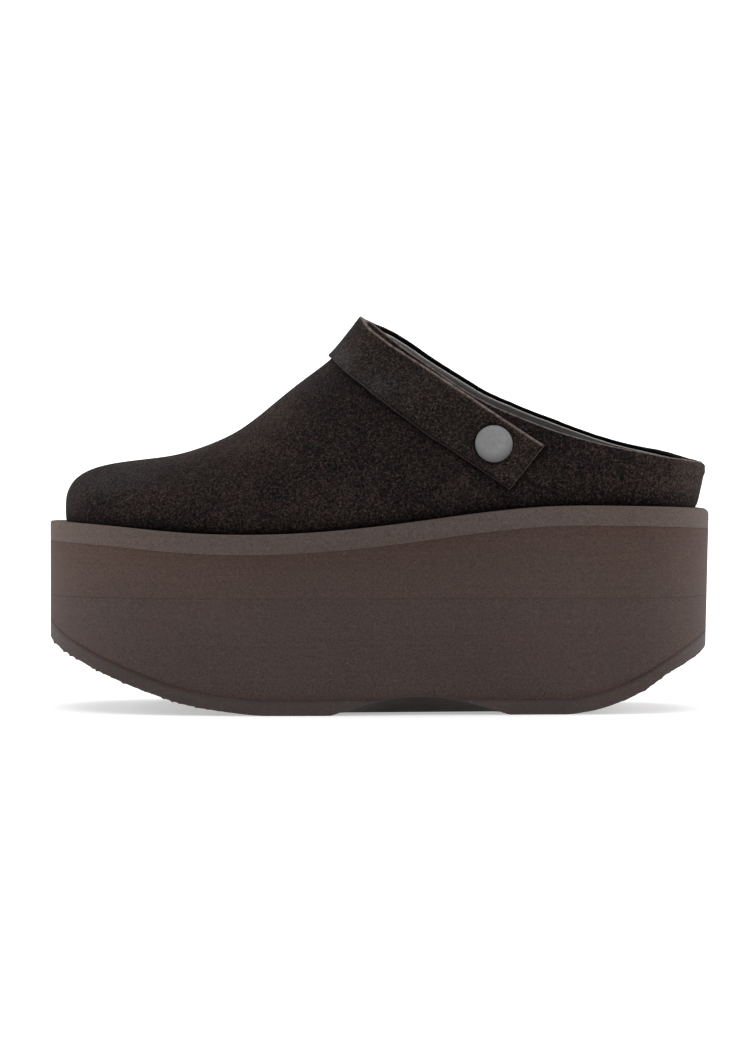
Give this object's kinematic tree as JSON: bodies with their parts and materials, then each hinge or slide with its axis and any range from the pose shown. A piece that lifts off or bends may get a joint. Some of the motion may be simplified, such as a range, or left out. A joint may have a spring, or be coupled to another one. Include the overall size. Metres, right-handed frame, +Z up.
{
  "type": "platform clog",
  "caption": "Suede clog upper with closed toe, low closed heel and a studded instep strap on a thick flat-sided foam platform with a rubber outsole, left foot.",
  "frame": {"origin": "on the floor under the middle of the shoe's bounding box", "axes": "+X from toe to heel, +Y to the medial side, +Z up"},
  "size_m": [0.27, 0.1024, 0.1601],
  "materials": {
    "suede": "dark brown waxed suede with a short burnished nap",
    "footbed_leather": "smooth matt grey lining leather",
    "platform_foam": "brown closed-cell foam, sides sanded flat",
    "outsole_rubber": "matt dark brown rubber with fine tread",
    "stud": "grey matt coated press stud"
  },
  "bodies": {
    "root": {"outsole": "outsole_rubber", "midsole_lower": "platform_foam", "midsole_upper": "platform_foam", "midsole_top": "platform_foam", "insole": "footbed_leather", "upper": "suede", "strap": "suede", "stud_cap_lateral": "stud", "stud_cap_medial": "stud", "stud_washer_lateral": "stud", "stud_washer_medial": "stud"}
  },
  "joints": []
}
